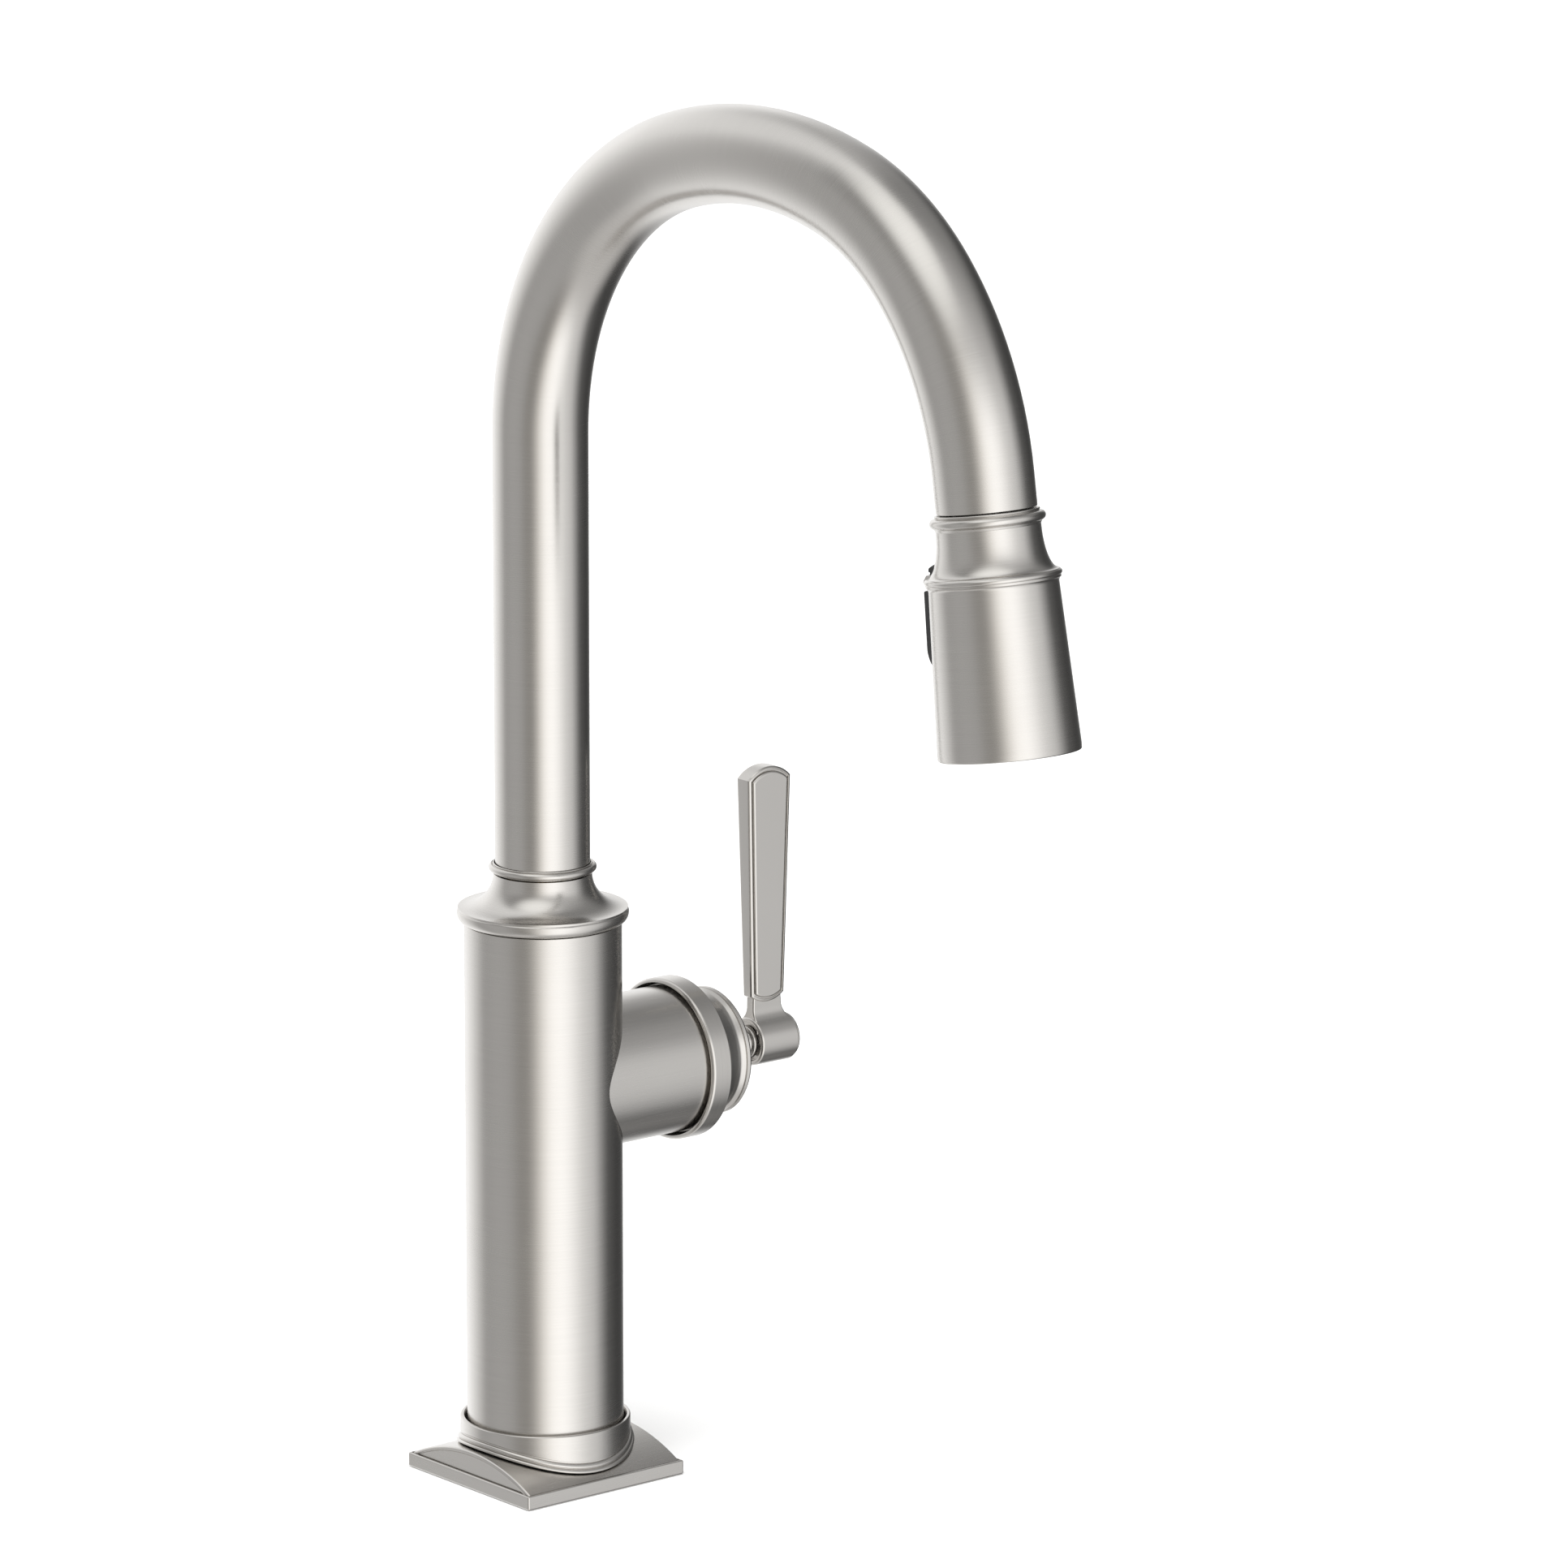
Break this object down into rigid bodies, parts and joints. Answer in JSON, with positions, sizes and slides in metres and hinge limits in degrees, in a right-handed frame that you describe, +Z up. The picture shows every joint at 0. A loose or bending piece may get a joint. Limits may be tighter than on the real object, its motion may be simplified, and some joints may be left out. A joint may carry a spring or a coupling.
{
  "type": "pull down kitchen faucet",
  "caption": "Single-lever kitchen faucet with a high swivelling gooseneck and a pull-down spray head, on a square base plate.",
  "frame": {"origin": "centre of the base plate's underside, on the deck, on the column's axis", "axes": "+Z up the column, -Y towards the spout's outlet, +X along the valve's hub towards the lever"},
  "size_m": [0.1263, 0.2651, 0.4334],
  "materials": {
    "brushed_nickel": "satin brushed",
    "brass": "machined",
    "copper": "drawn",
    "steel": "ground",
    "rubber": "matte",
    "black_plastic": "satin moulded",
    "grey_plastic": "moulded",
    "white_plastic": "moulded",
    "ceramic": "polished",
    "magnet": "plated",
    "hose_braid": "woven"
  },
  "bodies": {
    "fixed_base": {"base_plate": "brushed_nickel", "base_gasket": "rubber", "base_ring": "brushed_nickel", "shank_insert": "brass", "body_shell": "brushed_nickel", "top_collar": "brushed_nickel", "swivel_bearing_upper": "white_plastic", "swivel_bearing_lower": "white_plastic", "valve_body": "brass", "hot_inlet_tube": "copper", "cold_inlet_tube": "copper", "outlet_tube": "brass", "cartridge_seal": "rubber", "cartridge_housing": "white_plastic", "fixed_disc": "ceramic", "cartridge_nut": "brass", "hub_ring": "brushed_nickel", "dome_cap": "brushed_nickel"},
    "spout": {"spout_tube": "brushed_nickel", "spout_ring": "brushed_nickel", "swivel_sleeve": "brass", "snap_ring": "steel", "spout_oring_lower": "rubber", "spout_oring_upper": "rubber", "dock_guide": "black_plastic", "dock_magnet": "magnet", "spray_hose": "hose_braid"},
    "spray_head": {"head_shell": "brushed_nickel", "head_collar": "brushed_nickel", "dock_ring": "steel", "hose_end": "hose_braid", "hose_nut": "brass", "hose_washer": "rubber", "check_valve": "white_plastic", "waterway": "grey_plastic", "flow_divider": "grey_plastic", "face_ring": "black_plastic", "spray_face": "rubber", "aerator": "grey_plastic", "button_pin": "steel"},
    "rocker": {"spray_button": "black_plastic"},
    "diverter": {"diverter_spool": "white_plastic"},
    "mixer": {"cartridge_rotor": "black_plastic", "moving_disc": "ceramic"},
    "lever": {"lever_handle": "brushed_nickel", "lever_stem": "brushed_nickel", "stem_ball": "steel", "lever_end_cap": "brushed_nickel", "lever_set_screw": "steel"}
  },
  "joints": [
    {"name": "spout_swivel", "type": "hinge", "parent": "fixed_base", "child": "spout", "pos_m": [0, 0, 0.19], "axis": [0, 0, 1], "range_deg": [-180, 180]},
    {"name": "head_pull", "type": "slide", "parent": "spout", "child": "spray_head", "axis": [0, -0.1547, -0.988], "range_m": [0, 0.24], "stiffness_N_per_m": 8, "springref_m": -0.7},
    {"name": "button_rock", "type": "hinge", "parent": "spray_head", "child": "rocker", "pos_m": [0, -0.19442, 0.31021], "axis": [-1, 0, 0], "range_deg": [0, 4.5]},
    {"name": "diverter_slide", "type": "slide", "parent": "spray_head", "child": "diverter", "axis": [0, -0.1547, -0.988], "range_m": [0, 0.0015]},
    {"name": "temperature_turn", "type": "hinge", "parent": "fixed_base", "child": "mixer", "pos_m": [0, 0, 0.12287], "axis": [1, 0, 0], "range_deg": [-45, 45]},
    {"name": "flow_tilt", "type": "hinge", "parent": "mixer", "child": "lever", "pos_m": [0.061, 0, 0.12287], "axis": [0, 1, 0], "range_deg": [0, 25]}
  ],
  "couplings": [
    {"joint": "diverter_slide", "follows": "button_rock", "m_per_rad": 0.019003}
  ]
}
